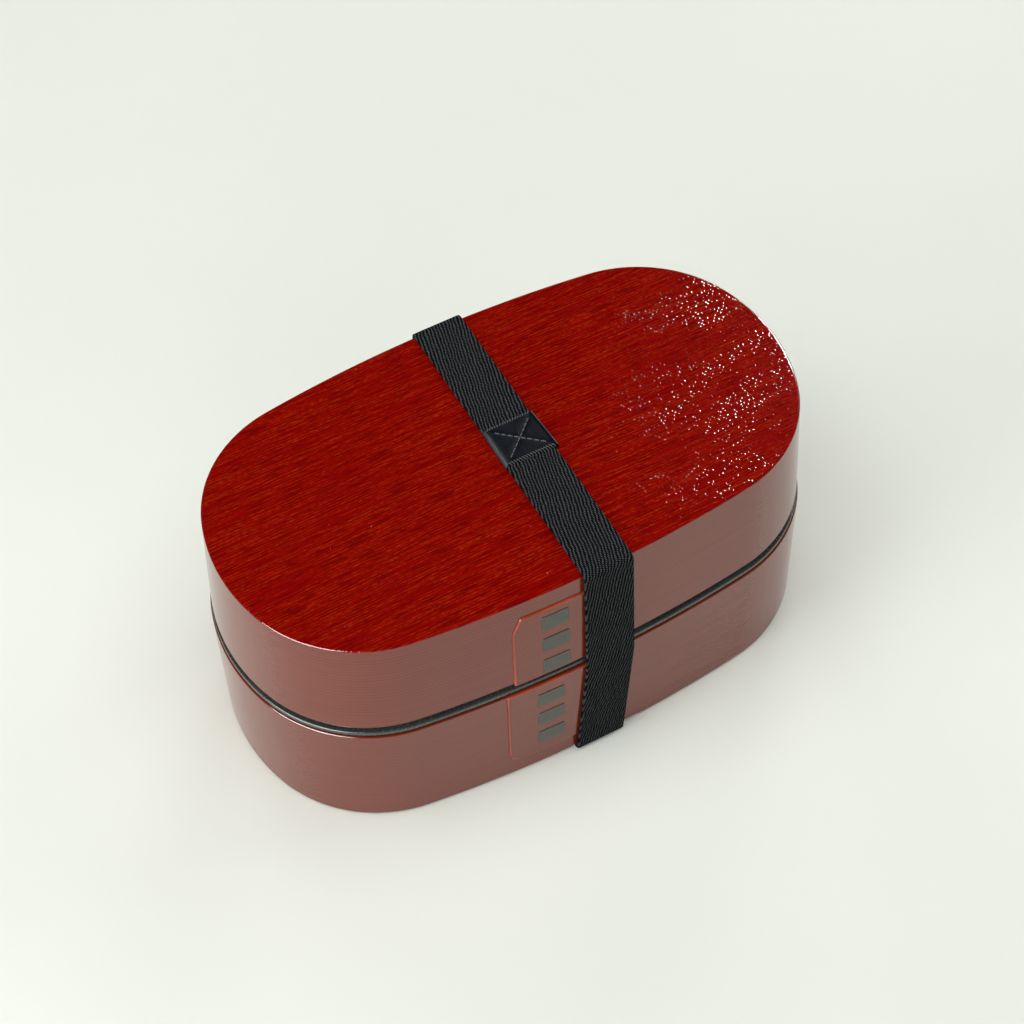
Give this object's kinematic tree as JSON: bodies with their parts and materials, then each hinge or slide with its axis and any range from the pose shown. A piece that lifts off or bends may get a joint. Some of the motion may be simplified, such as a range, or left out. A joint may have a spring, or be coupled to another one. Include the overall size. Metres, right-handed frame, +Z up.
{
  "type": "bento lunch box",
  "caption": "Oval two-tier lunch box with a deep outer lid, sealed inner lids, a divider and an elastic belt round it.",
  "frame": {"origin": "middle of the base, at the height that the foot ring stands on", "axes": "+X along the long axis, +Z up, -Y towards the front wall, which carries the overlap panel and the bark marks"},
  "size_m": [0.1798, 0.1048, 0.0858],
  "materials": {
    "red_lacquer": "gloss lacquer with fine wood-grain lines",
    "bark_marks": "satin",
    "dark_lid": "satin, finely textured",
    "dark_container": "satin",
    "gasket": "matt silicone",
    "belt_elastic": "ribbed woven elastic",
    "patch_leather": "satin imitation leather",
    "patch_thread": "twisted thread"
  },
  "bodies": {
    "lower_box": {"lower_box": "red_lacquer", "lower_box_bark_marks": "bark_marks"},
    "lower_inner_lid": {"lower_inner_lid": "dark_lid", "lower_lid_gasket": "gasket"},
    "upper_box": {"upper_box": "dark_container"},
    "upper_divider": {"upper_divider": "dark_container"},
    "upper_inner_lid": {"upper_inner_lid": "dark_lid", "upper_lid_gasket": "gasket"},
    "outer_lid": {"outer_lid": "red_lacquer", "outer_lid_bark_marks": "bark_marks"},
    "belt": {"belt_band": "belt_elastic", "belt_patch": "patch_leather", "belt_patch_thread": "patch_thread"}
  },
  "joints": [
    {"name": "lower_inner_lid_lift", "type": "slide", "parent": "lower_box", "child": "lower_inner_lid", "axis": [0, 0, 1], "range_m": [0, 0.07]},
    {"name": "upper_box_lift", "type": "slide", "parent": "lower_inner_lid", "child": "upper_box", "axis": [0, 0, 1], "range_m": [0, 0.07]},
    {"name": "upper_divider_slide", "type": "slide", "parent": "upper_box", "child": "upper_divider", "axis": [1, 0, 0], "range_m": [-0.036, 0.004]},
    {"name": "upper_inner_lid_lift", "type": "slide", "parent": "upper_box", "child": "upper_inner_lid", "axis": [0, 0, 1], "range_m": [0, 0.06]},
    {"name": "outer_lid_lift", "type": "slide", "parent": "upper_inner_lid", "child": "outer_lid", "axis": [0, 0, 1], "range_m": [0, 0.07], "deforming": ["belt_band", "belt_patch", "belt_patch_thread"]},
    {"name": "belt_slide", "type": "slide", "parent": "lower_box", "child": "belt", "axis": [1, 0, 0], "range_m": [-0.11, 0.11]}
  ]
}
